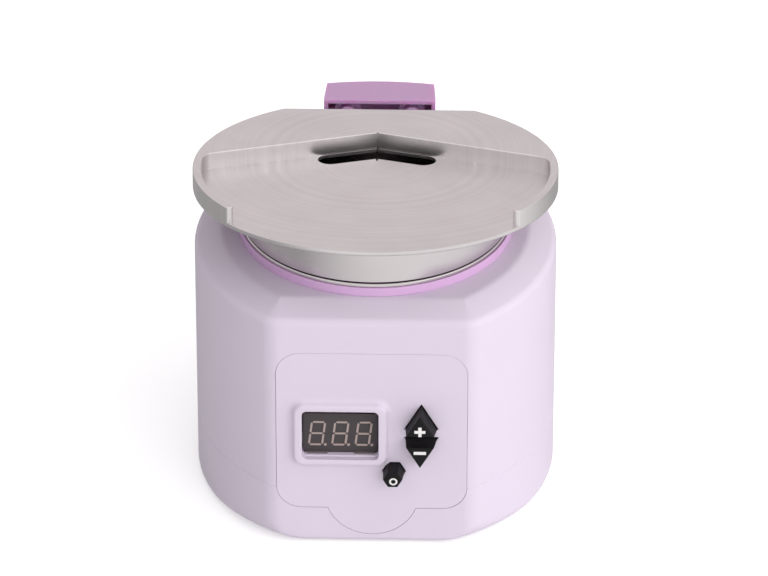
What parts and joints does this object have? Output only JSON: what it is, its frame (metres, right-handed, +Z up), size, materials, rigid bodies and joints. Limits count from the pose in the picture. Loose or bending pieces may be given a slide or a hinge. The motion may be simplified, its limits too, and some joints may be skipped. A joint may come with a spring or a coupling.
{
  "type": "dental lab wax heater",
  "caption": "Compact dental wax heater with a heated well, a steel wax pot standing in it, and a tipped steel hot plate that drains wax into the pot.",
  "frame": {"origin": "on the table, under the middle of the body and on the axis of its well and pot", "axes": "+Z up, the front with the display faces -Y, +X to the user's right"},
  "size_m": [0.1104, 0.1252, 0.1076],
  "materials": {
    "lavender_shell": "fine moulded, satin",
    "lilac_plastic": "moulded, satin",
    "black_rubber": "moulded, dull",
    "key_black": "moulded, semi-gloss",
    "display_epoxy": "cast epoxy, dull gloss",
    "segment_resin": "clear resin bars, unlit",
    "switch_plastic": "moulded",
    "board_laminate": "glass laminate, solder mask",
    "screw_steel": "zinc plated",
    "well_steel": "turned, bright",
    "pot_steel": "turned, polished",
    "plate_steel": "milled, fine circular marks",
    "band_steel": "mica band in a steel sheath",
    "felt_white": "needled ceramic felt",
    "cutout_ceramic": "pressed, unglazed",
    "lead_silicone": "extruded silicone",
    "socket_plastic": "moulded"
  },
  "bodies": {
    "housing": {"upper_housing": "lavender_shell", "base_tray": "lavender_shell", "rubber_feet": "black_rubber", "housing_screws": "screw_steel", "front_panel": "lavender_shell", "display_module": "display_epoxy", "display_segments": "segment_resin", "tact_switches": "switch_plastic", "control_board": "board_laminate", "board_screws": "screw_steel", "collar_ring": "lilac_plastic", "heater_well": "well_steel", "band_heater": "band_steel", "clamp_screw": "screw_steel", "insulation_sleeve": "felt_white", "well_insulator": "felt_white", "temperature_sensor": "screw_steel", "thermal_cutout": "cutout_ceramic", "cutout_screws": "screw_steel", "heater_leads": "lead_silicone", "power_board": "board_laminate", "power_board_screws": "screw_steel", "dc_socket": "socket_plastic", "socket_nut": "screw_steel"},
    "plus_key": {"plus_button": "key_black"},
    "minus_key": {"minus_button": "key_black"},
    "mode_key": {"mode_button": "key_black"},
    "pot": {"wax_pot": "pot_steel"},
    "plate": {"hot_plate": "plate_steel", "rear_grip": "lilac_plastic", "grip_spacers": "screw_steel", "grip_screws": "screw_steel"}
  },
  "joints": [
    {"name": "plus_press", "type": "slide", "parent": "housing", "child": "plus_key", "axis": [0, 1, 0], "range_m": [0, 0.0005], "stiffness_N_per_m": 600, "springref_m": -0.0006},
    {"name": "minus_press", "type": "slide", "parent": "housing", "child": "minus_key", "axis": [0, 1, 0], "range_m": [0, 0.0005], "stiffness_N_per_m": 600, "springref_m": -0.0006},
    {"name": "mode_press", "type": "slide", "parent": "housing", "child": "mode_key", "axis": [0, 1, 0], "range_m": [0, 0.0005], "stiffness_N_per_m": 600, "springref_m": -0.0006},
    {"name": "pot_lift", "type": "slide", "parent": "housing", "child": "pot", "axis": [0, 0, 1], "range_m": [0, 0.035]},
    {"name": "plate_lift", "type": "slide", "parent": "pot", "child": "plate", "axis": [0, 0, 1], "range_m": [0, 0.03]}
  ]
}
